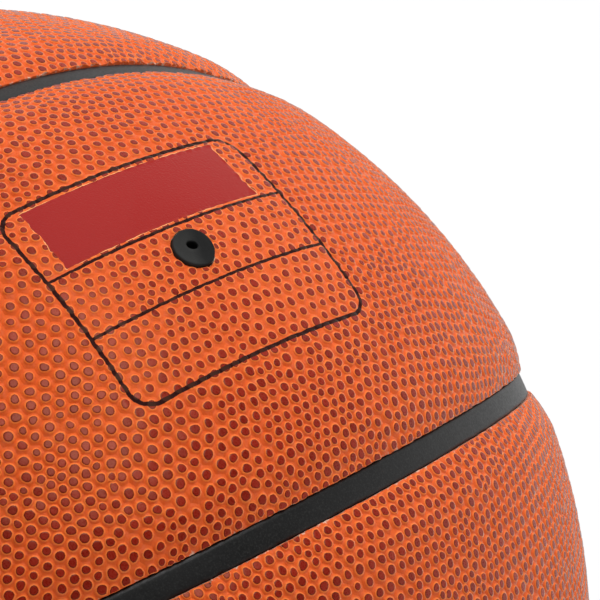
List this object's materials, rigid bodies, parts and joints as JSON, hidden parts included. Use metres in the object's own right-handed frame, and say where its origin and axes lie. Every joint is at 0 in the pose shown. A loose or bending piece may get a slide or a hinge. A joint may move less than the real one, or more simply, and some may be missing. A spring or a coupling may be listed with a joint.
{
  "type": "basketball",
  "caption": "Inflatable basketball with pillowed pebbled cover panels, flat black seam strips, an inner bladder and a pull-out valve plug that takes an inflating needle.",
  "frame": {"origin": "centre of the ball", "axes": "+Z out through the valve's needle hole, +Y through a crossing of the two straight seams, +X towards the loop seam beside the valve"},
  "size_m": [0.242, 0.2404, 0.2425],
  "materials": {
    "cover": "pebbled composite leather, satin",
    "foam": "soft closed-cell foam",
    "seam_rubber": "satin black rubber",
    "carcass_rubber": "matt moulded rubber",
    "thread": "wound nylon thread",
    "bladder_rubber": "smooth butyl rubber",
    "valve_rubber": "satin black rubber"
  },
  "bodies": {
    "ball": {"long_panel_upper_right": "cover", "long_panel_upper_left": "cover", "long_panel_lower_right": "cover", "long_panel_lower_left": "cover", "oval_panel_upper_right": "cover", "oval_panel_upper_left": "cover", "oval_panel_lower_right": "cover", "oval_panel_lower_left": "cover", "long_backing_upper_right": "foam", "long_backing_upper_left": "foam", "long_backing_lower_right": "foam", "long_backing_lower_left": "foam", "oval_backing_upper_right": "foam", "oval_backing_upper_left": "foam", "oval_backing_lower_right": "foam", "oval_backing_lower_left": "foam", "seam_strip_ring": "seam_rubber", "seam_strip_cross_upper": "seam_rubber", "seam_strip_cross_lower": "seam_rubber", "seam_strip_right_loop_upper": "seam_rubber", "seam_strip_right_loop_lower": "seam_rubber", "seam_strip_left_loop_upper": "seam_rubber", "seam_strip_left_loop_lower": "seam_rubber", "carcass": "carcass_rubber", "thread_winding": "thread", "bladder": "bladder_rubber", "valve_boot": "valve_rubber"},
    "plug": {"valve_plug": "valve_rubber"}
  },
  "joints": [
    {"name": "valve_plug_pull", "type": "slide", "parent": "ball", "child": "plug", "axis": [0, 0, 1], "range_m": [0, 0.02]}
  ]
}
